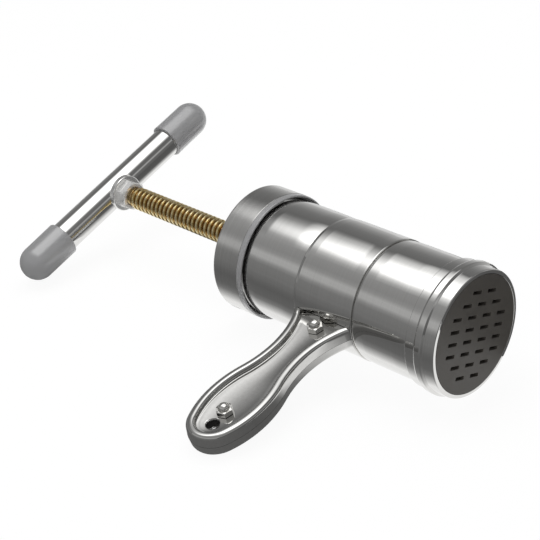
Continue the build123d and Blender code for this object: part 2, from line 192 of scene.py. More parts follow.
# material helpers

def newMaterial(name):
    finish = bpy.data.materials.new(name)
    finish.use_nodes = True
    return finish, finish.node_tree.nodes, finish.node_tree.links


def newFinish(name, look, colour, metallic):
    finish, nodes, links = newMaterial(name)
    shader = nodes["Principled BSDF"]
    shader.inputs["Base Color"].default_value = (*look[colour], 1)
    shader.inputs["Metallic"].default_value = metallic
    shader.inputs["Roughness"].default_value = look["roughness"][0]
    return finish, nodes, links, shader


def addMath(nodes, operation, kind="ShaderNodeMath"):
    node = nodes.new(kind)
    node.operation = operation
    return node


def ownPlace(nodes):
    return nodes.new("ShaderNodeTexCoord").outputs["Object"]


def stretchedPlace(nodes, links, alongScale, aroundScale):
    # the piece's own coordinates, stretched so that noise runs in rings round the x axis
    stretch = nodes.new("ShaderNodeMapping")
    stretch.inputs["Scale"].default_value = (alongScale, aroundScale, aroundScale)
    links.new(ownPlace(nodes), stretch.inputs["Vector"])
    return stretch.outputs["Vector"]


def splitPlace(nodes, links):
    place = ownPlace(nodes)
    parts = nodes.new("ShaderNodeSeparateXYZ")
    links.new(place, parts.inputs["Vector"])
    return place, parts.outputs


def addNoise(nodes, links, vector, scale, detail=3.0):
    noise = nodes.new("ShaderNodeTexNoise")
    noise.inputs["Scale"].default_value = scale
    noise.inputs["Detail"].default_value = detail
    links.new(vector, noise.inputs["Vector"])
    return noise.outputs["Fac"]


def addRange(nodes, links, value, fromLow, fromHigh, toLow=0.0, toHigh=1.0):
    mapper = nodes.new("ShaderNodeMapRange")
    mapper.inputs["From Min"].default_value = fromLow
    mapper.inputs["From Max"].default_value = fromHigh
    mapper.inputs["To Min"].default_value = toLow
    mapper.inputs["To Max"].default_value = toHigh
    links.new(value, mapper.inputs["Value"])
    return mapper.outputs["Result"]


def tint(nodes, links, value, dark, light):
    ramp = nodes.new("ShaderNodeValToRGB")
    ramp.color_ramp.elements[0].position = noiseLow
    ramp.color_ramp.elements[1].position = noiseHigh
    ramp.color_ramp.elements[0].color = (*dark, 1)
    ramp.color_ramp.elements[1].color = (*light, 1)
    links.new(value, ramp.inputs["Fac"])
    return ramp.outputs["Color"]


def addBump(nodes, links, shader, height, distance):
    bump = nodes.new("ShaderNodeBump")
    bump.inputs["Distance"].default_value = distance
    links.new(height, bump.inputs["Height"])
    links.new(bump.outputs["Normal"], shader.inputs["Normal"])
    return bump


def steelFinish(name, look):
    # steel with its grain round the x axis, a slight unevenness and small stains of roughness
    finish, nodes, links, shader = newFinish(name, look, "light", look.get("metal", 1.0))
    grainPlace = stretchedPlace(nodes, links, look["grainAlong"], look["grainAround"])
    grain = addNoise(nodes, links, grainPlace, 1.0, 4.0)
    wavePlace = stretchedPlace(nodes, links, look["waveAlong"], look["waveAround"])
    wave = addNoise(nodes, links, wavePlace, 1.0, 1.0)
    links.new(tint(nodes, links, grain, look["dark"], look["light"]), shader.inputs["Base Color"])
    rough = addRange(nodes, links, grain, noiseLow, noiseHigh, *look["roughness"])
    links.new(rough, shader.inputs["Roughness"])
    fine = addBump(nodes, links, shader, grain, look["grainDepth"])
    slow = nodes.new("ShaderNodeBump")
    slow.inputs["Distance"].default_value = look["waveDepth"]
    links.new(wave, slow.inputs["Height"])
    links.new(slow.outputs["Normal"], fine.inputs["Normal"])
    return finish


polishedLook = {
    "light": (0.76, 0.755, 0.74),
    "dark": (0.72, 0.715, 0.70),
    "roughness": (0.03, 0.055),
    "grainAlong": 1600,
    "grainAround": 30,
    "grainDepth": 0.0000006,
    "waveAlong": 45,
    "waveAround": 22,
    "waveDepth": 0.00005,
}
brushedLook = {
    "light": (0.77, 0.765, 0.75),
    "dark": (0.66, 0.655, 0.64),
    "roughness": (0.09, 0.17),
    "grainAlong": 3500,
    "grainAround": 12,
    "grainDepth": 0.000004,
    "waveAlong": 60,
    "waveAround": 20,
    "waveDepth": 0.00003,
}
barLook = {
    "light": (0.78, 0.775, 0.76),
    "dark": (0.74, 0.735, 0.72),
    "roughness": (0.035, 0.06),
    "grainAlong": 700,
    "grainAround": 700,
    "grainDepth": 0.000001,
    "waveAlong": 45,
    "waveAround": 35,
    "waveDepth": 0.00012,
}
boltLook = {
    "light": (0.84, 0.83, 0.80),
    "dark": (0.76, 0.75, 0.72),
    "roughness": (0.09, 0.16),
    "grainAlong": 900,
    "grainAround": 900,
    "grainDepth": 0.000004,
    "waveAlong": 200,
    "waveAround": 200,
    "waveDepth": 0.00002,
}
# painted shade: the handle's steel is the bar's steel with darker colours, for the darker tone
# the handle shows under the light
shadedHandleLook = dict(barLook, light=(0.65, 0.645, 0.63), dark=(0.60, 0.595, 0.58))
# painted shade: the walls of the hanging hole are made almost black, for the shade inside the
# hole
holeShadeLook = dict(
    shadedHandleLook,
    light=(0.11, 0.105, 0.10),
    dark=(0.07, 0.068, 0.065),
    roughness=(0.4, 0.5),
)
zincLook = dict(
    boltLook,
    metal=0.5,
    light=(0.96, 0.955, 0.94),
    dark=(0.92, 0.915, 0.90),
    roughness=(0.12, 0.18),
    grainAlong=2600,
    grainAround=2600,
    grainDepth=0.000001,
)
collarLook = dict(zincLook, metal=0.88, roughness=(0.07, 0.11))
ringLook = dict(polishedLook, roughness=(0.04, 0.075), grainDepth=0.0000015)
polishedSteel = steelFinish("polished steel", polishedLook)
barSteel = steelFinish("polished bar steel", barLook)
holeShadeSteel = steelFinish("hole wall in painted shade", holeShadeLook)
zincPlating = steelFinish("clear zinc plating", zincLook)
collarPlating = steelFinish("bright collar plating", collarLook)
ringSteel = steelFinish("bright turned steel", ringLook)
brushedSteel = steelFinish("brushed steel", brushedLook)
shadedHandleSteel = steelFinish("handle steel painted darker", shadedHandleLook)
boltSteel = steelFinish("bright plating", boltLook)


def platedFinish(name, look):
    # yellow plating: golden where it is worn bright, and brown in the hollows as painted shade
    finish, nodes, links, shader = newFinish(name, look, "crest", 1.0)
    place, parts = splitPlace(nodes, links)
    across = nodes.new("ShaderNodeCombineXYZ")
    links.new(parts["Y"], across.inputs["Y"])
    links.new(parts["Z"], across.inputs["Z"])
    reach = addMath(nodes, "LENGTH", "ShaderNodeVectorMath")
    links.new(across.outputs["Vector"], reach.inputs[0])
    valleyShade, crest = look["valleyRadius"] * mm, look["crestRadius"] * mm
    # painted shade: the colour runs from the dark brown of the thread roots out to the golden
    # crests
    depth = addRange(nodes, links, reach.outputs["Value"], valleyShade, crest)
    ramp = nodes.new("ShaderNodeValToRGB")
    ramp.color_ramp.elements[0].color = (*look["valleyShade"], 1)
    ramp.color_ramp.elements[1].color = (*look["crest"], 1)
    links.new(depth, ramp.inputs["Fac"])
    blotch = addNoise(nodes, links, place, look["blotchScale"], 4.0)
    hue = tint(nodes, links, blotch, look["stain"], (1, 1, 1))
    mix = nodes.new("ShaderNodeMix")
    mix.data_type = "RGBA"
    mix.blend_type = "MULTIPLY"
    mix.inputs["Factor"].default_value = 1.0
    links.new(ramp.outputs["Color"], mix.inputs["A"])
    links.new(hue, mix.inputs["B"])
    links.new(mix.outputs["Result"], shader.inputs["Base Color"])
    rough = addRange(nodes, links, blotch, noiseLow, noiseHigh, *look["roughness"])
    links.new(rough, shader.inputs["Roughness"])
    grain = addNoise(nodes, links, place, look["grainScale"])
    addBump(nodes, links, shader, grain, look["grainDepth"])
    return finish


screwLook = {
    "crest": (0.92, 0.80, 0.50),
    # the painted shade colour of the thread roots
    "valleyShade": (0.33, 0.17, 0.045),
    "stain": (0.82, 0.72, 0.50),
    "roughness": (0.16, 0.32),
    "valleyRadius": 4.4,
    "crestRadius": 5.9,
    "blotchScale": 260,
    "grainScale": 1500,
    "grainDepth": 0.00001,
}
studLook = dict(screwLook, valleyRadius=3.9, crestRadius=4.8)
platedScrew = platedFinish("yellow plating", screwLook)
platedStud = platedFinish("yellow plating on the stud", studLook)


def mouldedFinish(name, look):
    # plastic or paint with a fine moulded texture, glossy where it has a coat
    finish, nodes, links, shader = newFinish(name, look, "light", 0.0)
    place = ownPlace(nodes)
    cloud = addNoise(nodes, links, place, look["cloudScale"])
    links.new(tint(nodes, links, cloud, look["dark"], look["light"]), shader.inputs["Base Color"])
    rough = addRange(nodes, links, cloud, noiseLow, noiseHigh, *look["roughness"])
    links.new(rough, shader.inputs["Roughness"])
    pebble = addNoise(nodes, links, place, look["pebbleScale"], 2.0)
    addBump(nodes, links, shader, pebble, look["pebbleDepth"])
    for socket, value in look.get("coat", {}).items():
        shader.inputs[socket].default_value = value
    return finish


gripLook = {
    "light": (0.33, 0.33, 0.335),
    "dark": (0.31, 0.31, 0.315),
    "roughness": (0.3, 0.36),
    "cloudScale": 60,
    "pebbleScale": 1800,
    "pebbleDepth": 0.00001,
    "coat": {"Coat Weight": 1.0, "Coat Roughness": 0.14, "Coat IOR": 1.7},
}
sealLook = {
    "light": (0.80, 0.80, 0.77),
    "dark": (0.74, 0.74, 0.70),
    "roughness": (0.4, 0.5),
    "cloudScale": 90,
    "pebbleScale": 1200,
    "pebbleDepth": 0.00001,
}
mouldLook = {
    "light": (0.066, 0.060, 0.051),
    "dark": (0.057, 0.052, 0.045),
    "roughness": (0.44, 0.52),
    "cloudScale": 120,
    "pebbleScale": 2600,
    "pebbleDepth": 0.000012,
}
gripPlastic = mouldedFinish("satin grey plastic", gripLook)
sealNylon = mouldedFinish("natural nylon", sealLook)
mouldCoat = mouldedFinish("dark mould coating", mouldLook)
print("finishes made")


# barrel

barrelSize = {
    "bore": 27.6,
    "neck": 28.4,
    "body": 29.66,
    "back": -126.2,
    "front": -3.35,
    "backShoulder": -115.3,
    "frontShoulder": -15.6,
    "seatBack": -82.55,
    "seatFront": -47.35,
    "seat": 28.95,
    "crownLength": 9.0,
    "crownRadius": 90.0,
    "crownSteps": 8,
    "endDrop": 0.6,
    "lipReach": 1.5,
    "lipDrop": 0.22,
    "levelReach": 6.5,
    "levelRound": 40,
    "edgeRound": 0.2,
    "neckRound": 0.3,
    "creaseGap": 0.1,
}
b = barrelSize


def crown(end):
    # the skin rolls gently down over the last few millimetres before an end
    line = []
    for k in range(b["crownSteps"] + 1):
        reach = b["crownLength"] * k / b["crownSteps"]
        line.append((
            end - b["crownLength"] + reach,
            b["body"] - reach ** 2 / (2 * b["crownRadius"]),
            0,
        ))
    return line


barrel = turnedPiece(
    "barrel_skin",
    [
        (b["back"], b["bore"], b["edgeRound"]),
        (b["back"], b["neck"], b["neckRound"]),
        (b["backShoulder"], b["neck"], 0),
        (b["backShoulder"], b["body"] - 0.62, b["edgeRound"]),
        (b["backShoulder"] + b["lipReach"], b["body"] - b["lipDrop"], 2.5),
        (b["backShoulder"] + b["levelReach"], b["body"], b["levelRound"]),
        *crown(b["seatBack"] - b["creaseGap"]),
        (b["seatBack"], b["body"] - b["endDrop"], 0),
        (b["seatBack"], b["seat"], 0),
        (b["seatFront"], b["seat"], 0),
        (b["seatFront"], b["body"] - 0.5, b["edgeRound"]),
        (b["seatFront"] + 1.2, b["body"] - 0.2, 2),
        (b["seatFront"] + b["levelReach"], b["body"], b["levelRound"]),
        *crown(b["frontShoulder"] - b["creaseGap"]),
        (b["frontShoulder"], b["body"] - b["endDrop"], 0),
        (b["frontShoulder"], b["neck"], 0),
        (b["front"], b["neck"], b["neckRound"]),
        (b["front"], b["bore"], b["edgeRound"]),
    ],
    polishedSteel,
    segments=fineSegments,
)
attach(barrel, "barrel")
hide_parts("barrel_tube")

neckThread = {
    "pitch": 3.0,
    "root": 28.35,
    "crest": 29.25,
    "runOut": 2.0,
    "segments": 96,
    "back": (-125.6, -115.0),
    "front": (-14.6, -4.2),
    "shape": [(0.0, 0), (0.3, 0), (0.38, 0.5), (0.46, 1), (0.6, 1), (0.68, 0.5), (0.76, 0)],
}
for name, end in (("back_neck_thread", "back"), ("front_neck_thread", "front")):
    thread = threadPiece(name, *neckThread[end], neckThread, polishedSteel)
    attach(thread, "barrel")

hoopSize = {
    "back": -82.4,
    "front": -47.5,
    "radius": 29.8,
    "wall": 0.8,
    "roll": 0.3,
    "handleTilt": 13.33,
    "earInside": 0.9,
    "earOutside": 1.85,
    "earLength": 12.0,
    "earWidth": 12.0,
    "cut": 10.0,
}


def slab(name, low, high, finish):
    # a plain block between two corners (along, out, up), in the tilt of the handle
    bm = bmesh.new()
    bmesh.ops.create_cube(bm, size=1)
    for vertex in bm.verts:
        for axis in range(3):
            vertex.co[axis] = high[axis] if vertex.co[axis] > 0 else low[axis]
    tilt = math.radians(hoopSize["handleTilt"])
    outward = Vector((0, -math.cos(tilt), -math.sin(tilt)))
    upward = Vector((0, -math.sin(tilt), math.cos(tilt)))
    place = Matrix((Vector((1, 0, 0)), outward, upward)).transposed().to_4x4()
    return finishMesh(name, bm, finish, place, weighted=False)


o = hoopSize
hoop = turnedPiece(
    "hoop_band",
    [
        (o["back"], o["radius"] - o["wall"], 0),
        (o["back"], o["radius"] - o["roll"], 0.2),
        (o["back"] + 1.4, o["radius"] - 0.14, 1.2),
        (o["back"] + 5, o["radius"] - 0.06, 30),
        (o["front"] - 5.5, o["radius"] - 0.1, 60),
        (o["front"] - 0.6, o["radius"] + 0.05, 1.5),
        (o["front"], o["radius"], 0.2),
        (o["front"], o["radius"] - o["wall"], 0),
    ],
    polishedSteel,
    segments=fineSegments,
)
cutAway(hoop, slab(
    "split cutter",
    (o["back"] - 1, o["radius"] - o["cut"], -o["earInside"]),
    (o["front"] + 1, o["radius"] + o["cut"], o["earInside"]),
    polishedSteel,
))
hoopMiddle = (o["back"] + o["front"]) / 2
ears = []
for name, side in (("upper_ear", 1), ("lower_ear", -1)):
    heights = sorted((side * o["earInside"], side * o["earOutside"]))
    earStart = o["radius"] - o["wall"] / 2
    ears.append(slab(
        name,
        (hoopMiddle - o["earWidth"] / 2, earStart, heights[0]),
        (hoopMiddle + o["earWidth"] / 2, earStart + o["earLength"], heights[1]),
        polishedSteel,
    ))
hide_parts("handle_hoop")
for piece in (hoop, *ears):
    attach(piece, "barrel")
print("barrel made")


# lid

lidSize = {
    "radius": 31.75,
    "back": -133.7,
    "front": -117.75,
    "wall": 0.8,
    "hole": 7.2,
}
lid = lidSize
lidCup = turnedPiece(
    "lid_shell",
    [
        (lid["back"], lid["hole"], 0.2),
        (lid["back"], lid["radius"], 1.5),
        (lid["front"], lid["radius"], 0.25),
        (lid["front"], lid["radius"] - lid["wall"], 0),
        (lid["back"] + lid["wall"], lid["radius"] - lid["wall"], 0.6),
        (lid["back"] + lid["wall"], lid["hole"], 0),
    ],
    brushedSteel,
    segments=fineSegments,
)
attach(lidCup, "lid")
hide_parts("lid_cup")

linerThread = dict(neckThread, root=29.95, crest=29.35, ends=(-127.6, -116.7))
ridge = threadPiece("liner_thread", *linerThread["ends"], linerThread, gripPlastic)
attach(ridge, "lid")


def dress(node, finish):
    for slotted in cadNodes[node].material_slots:
        slotted.material = finish


dress("lid_liner", gripPlastic)
dress("drive_nut", platedScrew)
dress("lid_gasket", sealNylon)
print("lid made")


# screw

screwSize = {
    "threadEnd": -219.0,
    "runIn": -226.0,
    "plainStart": -97.65,
    "stud": 4.1,
    "studBack": -244.6,
    "step": 0.2,
    "root": 4.35,
    "journal": 4.0,
    "journalEnd": -95.35,
}
s = screwSize
trapezoid = {
    "pitch": 3.0,
    "root": s["root"],
    "crest": 5.97,
    "runOut": 5.5,
    "segments": 48,
    "ends": (s["runIn"], s["plainStart"]),
    "shape": [
        (0.0, 0), (0.26, 0), (0.30, 0.06), (0.34, 0.22), (0.43, 0.86), (0.47, 0.97),
        (0.51, 1), (0.76, 1), (0.80, 0.97), (0.84, 0.86), (0.93, 0.22), (0.97, 0.06),
    ],
}
finePitch = {
    "pitch": 1.0,
    "root": 4.15,
    "crest": 4.7,
    "runOut": 0.6,
    "segments": 40,
    "ends": (s["studBack"] + 0.4, s["threadEnd"] + 0.3),
    "shape": [(0.0, 0), (0.25, 0.5), (0.5, 1), (0.75, 0.5)],
}
screwCore = turnedPiece(
    "screw_core",
    [
        (s["studBack"], 0, 0),
        (s["studBack"], s["stud"], 0.5),
        (s["threadEnd"] + s["step"], s["stud"], 0),
        (s["threadEnd"] + s["step"], s["root"], 0),
        (s["plainStart"], s["root"], 0.2),
        (s["plainStart"], s["journal"], 0),
        (s["journalEnd"], s["journal"], 0),
        (s["journalEnd"], 0, 0),
    ],
    platedScrew,
    segments=64,
)
screwThread = threadPiece("screw_thread", *trapezoid["ends"], trapezoid, platedScrew)
studThread = threadPiece("stud_thread", *finePitch["ends"], finePitch, platedStud)
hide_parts("crank_screw")
for piece in (screwCore, screwThread, studThread):
    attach(piece, "crank")
print("screw made")


# T handle: made along the x axis, then turned onto the bar's line

barSize = {
    "x": -240.0,
    "roll": 19.2,
    "radius": 8.0,
    "bore": 6.8,
    "halfLength": 64.0,
    "mouth": 41.0,
    "mouthRadius": 9.45,
    "grip": 9.3,
    "domeCentre": 60.2,
    "domeSteps": 14,
    "seatGap": 0.05,
    "endGap": 0.1,
    "lipLength": 2.2,
}
bar = barSize


def barPlace(side):
    # side 1 runs towards the side handle, -1 away from it
    roll = math.radians(bar["roll"])
    along = Vector((0, -math.cos(roll), -math.sin(roll))) * side
    across = Vector((1, 0, 0))
    place = Matrix((along, across, along.cross(across))).transposed().to_4x4()
    place.translation = Vector((bar["x"] * mm, 0, 0))
    return place


barTube = turnedPiece(
    "cross_bar",
    [
        (-bar["halfLength"], bar["bore"], 0),
        (-bar["halfLength"], bar["radius"], 0.3),
        (bar["halfLength"], bar["radius"], 0.3),
        (bar["halfLength"], bar["bore"], 0),
    ],
    barSteel,
    barPlace(1),
    segments=128,
)
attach(barTube, "crank")
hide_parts("bar_tube")

for name, node, side in (("near_cap", "near_grip", 1), ("far_cap", "far_grip", -1)):
    corners = [
        (bar["mouth"], bar["radius"] + bar["seatGap"], 0.15),
        (bar["mouth"], bar["mouthRadius"], 0.5),
        (bar["mouth"] + bar["lipLength"], bar["mouthRadius"] - 0.05, 0),
        (bar["domeCentre"] - 3, bar["grip"], 0),
    ]
    for k in range(bar["domeSteps"] + 1):
        turn = math.pi / 2 * k / bar["domeSteps"]
        corners.append((
            bar["domeCentre"] + bar["grip"] * math.sin(turn),
            bar["grip"] * max(0, math.cos(turn) - 1e-9),
            0,
        ))
    corners += [
        (bar["halfLength"] + bar["endGap"], 0, 0),
        (bar["halfLength"] + bar["endGap"], bar["radius"] + bar["seatGap"], 0),
    ]
    cap = turnedPiece(name, corners, gripPlastic, barPlace(side), segments=128)
    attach(cap, "crank")
    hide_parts(node)


barNutSize = {
    "width": 14.0,
    "back": -230.8,
    "front": -225.3,
    "hole": 4.85,
    "mouth": 0.6,
    "chamfer": 0.55,
    "turn": 28,
    "faceShare": 0.97,
    "faceDrop": 0.1,
    "segments": 96,
}


def barNutMesh():
    n = barNutSize
    flat = n["width"] / 2
    rows = []
    bm = bmesh.new()

    def addRow(radiusAt):
        row = []
        for j in range(n["segments"]):
            turn = 2 * math.pi * j / n["segments"]
            along, out = radiusAt(hexReach(turn - math.radians(n["turn"]), flat))
            row.append(bm.verts.new(spun(along, out, turn)))
        rows.append(row)

    edge = n["front"] - n["faceDrop"]
    addRow(lambda reach: (n["back"], n["hole"]))
    addRow(lambda reach: (n["back"], reach))
    addRow(lambda reach: (edge - (reach - flat) * n["chamfer"], reach))
    addRow(lambda reach: (n["front"], flat * n["faceShare"]))
    addRow(lambda reach: (n["front"], n["hole"] + n["mouth"]))
    addRow(lambda reach: (n["front"] - n["mouth"], n["hole"]))
    for lower, upper in zip(rows, rows[1:] + rows[:1]):
        bridge(bm, lower, upper)
    return bm


barNut = finishMesh("hexagon_nut", barNutMesh(), zincPlating, sharpAngle=20)
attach(barNut, "crank")
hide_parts("bar_nut")
dress("bar_collar", collarPlating)
for node in ("thrust_washer", "piston_screw"):
    dress(node, boltSteel)
dress("piston_plate", polishedSteel)
dress("piston_seal", sealNylon)
print("T handle made")


# side handle

handleSize = {
    "roll": 13.33,
    "x": -64.95,
    "tailEnd": 29.2,
    "waist": 54.0,
    "waistHalf": 10.6,
    "palmHalf": 16.2,
    "tailRadius": 48.0,
    "webTailRadius": 47.0,
    "swellRadius": 54.0,
    "palmRadius": 48.0,
    "tipRadius": 13.4,
    "height": 5.65,
    "web": 2.9,
    "webUnder": 1.9,
    "wall": 1.2,
    "draft": 0.36,
    "rimWidth": 4.7,
    "outerRound": 2.2,
    "innerRound": 1.4,
    "dish": 0.032,
    "gap": 0.06,
    "hoopClear": 29.9,
    "hangHole": (103.7, 3.15),
    "holeWall": 0.9,
    "nutTurn": 47,
    "holeLip": 0.3,
    "holeEdge": 0.12,
    "webSkin": 0.5,
    "cutterHalf": 8,
    "boltPlaces": (34.4, 95.6),
    "arcSteps": (16, 14, 14, 12, 16),
    "roundSteps": 7,
    "webColumns": 10,
}
h = handleSize


def handlePlace():
    # x across the handle, y out along it, z up through it
    roll = math.radians(h["roll"])
    up = Vector((0, -math.sin(roll), math.cos(roll)))
    across = Vector((-1, 0, 0))
    place = Matrix((across, up.cross(across), up)).transposed().to_4x4()
    place.translation = Vector((h["x"] * mm, 0, 0))
    return place


def handleEdge(inset):
    # half of the handle's outline in tangent arcs, from the barrel to the tip
    outerTail = h["tailRadius"] + min(inset, h["outerRound"])
    share = (inset - h["outerRound"]) / (h["rimWidth"] - h["outerRound"])
    tail = outerTail + (h["webTailRadius"] - outerTail) * max(0, min(share, 1))
    tail += max(0, inset - h["rimWidth"])
    rise = (h["palmHalf"] - h["waistHalf"]) / (2 * h["swellRadius"])
    swell = math.acos(1 - rise)
    palm = math.acos((h["palmRadius"] - h["palmHalf"]) / (h["palmRadius"] - h["tipRadius"]))
    flankX = h["palmHalf"] - h["swellRadius"]
    flankY = h["waist"] + 2 * h["swellRadius"] * math.sin(swell)
    palmX = h["palmHalf"] - h["palmRadius"]
    tipX = palmX + (h["palmRadius"] - h["tipRadius"]) * math.cos(palm)
    tipY = flankY + (h["palmRadius"] - h["tipRadius"]) * math.sin(palm)
    tailTurn = math.asin((h["waist"] - h["tailEnd"]) / tail)
    edge = []

    def addArc(centreX, centreY, radius, start, end, count, flip=1):
        for k in range(count):
            turn = start + (end - start) * k / count
            x = centreX + flip * radius * math.cos(turn)
            edge.append((x, centreY + radius * math.sin(turn)))

    tailX, swellX = h["waistHalf"] - inset + tail, h["waistHalf"] + h["swellRadius"]
    tailSteps, waistSteps, flankSteps, palmSteps, tipSteps = h["arcSteps"]
    addArc(tailX, h["waist"], tail, -tailTurn, 0, tailSteps, -1)
    addArc(swellX, h["waist"], h["swellRadius"] + inset, 0, swell, waistSteps, -1)
    addArc(flankX, flankY, h["swellRadius"] - inset, -swell, 0, flankSteps)
    addArc(palmX, flankY, h["palmRadius"] - inset, 0, palm, palmSteps)
    addArc(tipX, tipY, h["tipRadius"] - inset, palm, math.pi / 2, tipSteps)
    edge.append((0, tipY + h["tipRadius"] - inset))
    return edge


def shellRings():
    # (inset, height) of each ring, from the seam over the rim and down to the web
    wallTop = h["height"] - h["outerRound"]
    rings = [
        (h["draft"] * share, h["gap"] + (wallTop - h["gap"]) * share) for share in (0, 0.5, 0.9)
    ]
    turns = [math.pi / 2 * k / h["roundSteps"] for k in range(h["roundSteps"] + 1)]
    for turn in turns:
        rings.append((
            h["draft"] + h["outerRound"] * (1 - math.cos(turn)),
            h["height"] - h["outerRound"] * (1 - math.sin(turn)),
        ))
    flatEnd = h["rimWidth"] - h["innerRound"]
    for turn in turns:
        rings.append((
            flatEnd + h["innerRound"] * math.sin(turn),
            h["height"] - h["innerRound"] * (1 - math.cos(turn)),
        ))
    # the rim ends in a small hollow round where it meets the web
    for past, lift in ((0, 0.5), (0.15, 0.15), (0.5, 0), (1.5, 0)):
        rings.append((h["rimWidth"] + past, h["web"] + lift))
    return rings


def shellPiece(name, side, finish):
    bm = bmesh.new()

    def addRing(inset, height):
        right = handleEdge(inset)
        left = [(-x, y) for x, y in reversed(right[:-1])]
        ring = []
        for x, y in right + left:
            y = max(y, math.sqrt(h["hoopClear"] ** 2 - height ** 2))
            ring.append(bm.verts.new((x, y, side * height)))
        return ring

    rings = [addRing(inset, height) for inset, height in shellRings()]
    under = [addRing(h["wall"], h["gap"]), addRing(h["wall"], h["webUnder"])]
    for lower, upper in (*zip(rings, rings[1:]), (under[0], rings[0]), (under[1], under[0])):
        bridge(bm, lower, upper)
    # the web is filled row by row between its two long edges, a little hollow in the middle
    columns = h["webColumns"]
    for ring, dish in ((rings[-1], h["dish"]), (under[1], 0)):
        count = len(ring)
        before = None
        for j in range(count // 2):
            right, left = ring[j], ring[count - 1 - j]
            row = [right]
            deepest = dish * (right.co - left.co).length / 2
            for k in range(1, columns):
                share = k / columns
                depth = Vector((0, 0, side * deepest * (1 - (2 * share - 1) ** 2)))
                row.append(bm.verts.new(right.co.lerp(left.co, share) - depth))
            row.append(left)
            if before:
                for k in range(columns):
                    bm.faces.new((before[k], row[k], row[k + 1], before[k + 1]))
            before = row
        tip = ring[count // 2]
        for k in range(columns):
            bm.faces.new((before[k], tip, before[k + 1]))
    return finishMesh(name, bm, finish, handlePlace())


def peg(name, y, radius, half):
    # a plain round cutter, upright in the handle's own directions
    bm = turnedMesh([(-half, 0), (-half, radius), (half, radius), (half, 0)], 48)
    bm.transform(Matrix.Translation((0, y, 0)) @ Matrix.Rotation(-math.pi / 2, 4, "Y"))
    return finishMesh(name, bm, shadedHandleSteel, handlePlace(), weighted=False)


holeY, holeRadius = h["hangHole"]
wallRadius = holeRadius + h["holeWall"]
lipRadius = holeRadius + h["holeLip"]
for name, node, side in (
    ("upper_stamping", "upper_shell", 1),
    ("lower_stamping", "lower_shell", -1),
):
    # the shells take the handle steel that is painted darker as shade
    shell = shellPiece(name, side, shadedHandleSteel)
    cutAway(shell, peg("hole cutter", holeY, holeRadius, h["cutterHalf"]))
    upright = Matrix.Rotation(-side * math.pi / 2, 4, "Y")
    # the hole wall takes the almost black finish of painted shade
    holeWall = turnedPiece(
        name + "_hole_wall",
        [
            (h["gap"], holeRadius, 0.1),
            (h["gap"], wallRadius, 0),
            (h["web"] - h["webSkin"], wallRadius, 0),
            (h["web"] - h["webSkin"], lipRadius, 0),
            (h["web"] - h["holeEdge"], lipRadius, 0),
            (h["web"] - h["holeEdge"], holeRadius, 0.1),
        ],
        holeShadeSteel,
        handlePlace() @ Matrix.Translation((0, holeY * mm, 0)) @ upright,
        segments=64,
    )
    for piece in (shell, holeWall):
        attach(piece, "barrel")
    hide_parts(node)

nutSize = {
    "width": 7.0,
    "hexHeight": 2.5,
    "chamfer": 0.6,
    "dome": 2.7,
    "domeHeight": 2.3,
    "domePower": 0.85,
    "domeSteps": 10,
    "washer": 0.25,
    "faceShare": 0.985,
    "faceLift": 0.04,
    "segments": 48,
}


def capNutMesh():
    n = nutSize
    bm = bmesh.new()
    rows = []
    flat = n["width"] / 2
    turns = [2 * math.pi * j / n["segments"] for j in range(n["segments"])]

    def addRow(height, out, slope=0):
        # out is a radius, or 0 for the hexagon itself
        row = []
        for turn in turns:
            reach = out or hexReach(turn, flat)
            drop = (reach - flat) * slope
            x, y = reach * math.cos(turn), reach * math.sin(turn)
            row.append(bm.verts.new((x, y, height - drop)))
        rows.append(row)

    addRow(0, 0)
    addRow(n["washer"], 0)
    addRow(n["hexHeight"], 0, n["chamfer"])
    face = n["hexHeight"] + n["faceLift"]
    addRow(face, flat * n["faceShare"])
    for k in range(n["domeSteps"]):
        turn = math.pi / 2 * k / n["domeSteps"]
        addRow(
            face + n["domeHeight"] * math.sin(turn),
            n["dome"] * math.cos(turn) ** n["domePower"],
        )
    for lower, upper in zip(rows, rows[1:]):
        bridge(bm, lower, upper)
    tip = bm.verts.new((0, 0, face + n["domeHeight"]))
    for first, second in zip(rows[-1], rows[-1][1:] + rows[-1][:1]):
        bm.faces.new((first, second, tip))
    bm.faces.new(list(reversed(rows[0])))
    return bm


nutTurn = Matrix.Rotation(math.radians(h["nutTurn"]), 4, "Z")
for number, distance in enumerate(h["boltPlaces"], 1):
    bm = capNutMesh()
    bm.transform(Matrix.Translation((0, distance, h["web"])) @ nutTurn)
    nut = finishMesh(f"cap_nut_{number}", bm, boltSteel, handlePlace())
    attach(nut, "barrel")
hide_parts("cap_nuts")
dress("handle_screws", boltSteel)
print("side handle made")


# mould end

ringSize = {
    "back": -15.4,
    "bandRadius": 30.75,
    "beadRadius": 31.7,
    "beadMiddle": -8.0,
    "beadFoot": 2.5,
    "beadTop": 1.5,
    "beadRound": 1.1,
    "footRound": 0.5,
    "frontRadius": 30.25,
    "bore": 29.45,
    "lip": 1.2,
    "mouth": 28.3,
}
r = ringSize
ringShell = turnedPiece(
    "ring_band",
    [
        (r["back"], r["bore"], 0.15),
        (r["back"], r["bandRadius"], 0.35),
        (r["beadMiddle"] - r["beadFoot"], r["bandRadius"], r["footRound"]),
        (r["beadMiddle"] - r["beadTop"], r["beadRadius"], r["beadRound"]),
        (r["beadMiddle"] + r["beadTop"], r["beadRadius"], r["beadRound"]),
        (r["beadMiddle"] + r["beadFoot"], r["bandRadius"] - 0.1, r["footRound"]),
        (0, r["frontRadius"], 0.8),
        (0, r["mouth"], 0.25),
        (-r["lip"], r["mouth"], 0),
        (-r["lip"], r["bore"], 0),
    ],
    ringSteel,
    segments=fineSegments,
)
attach(ringShell, "ring")
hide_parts("mould_ring")

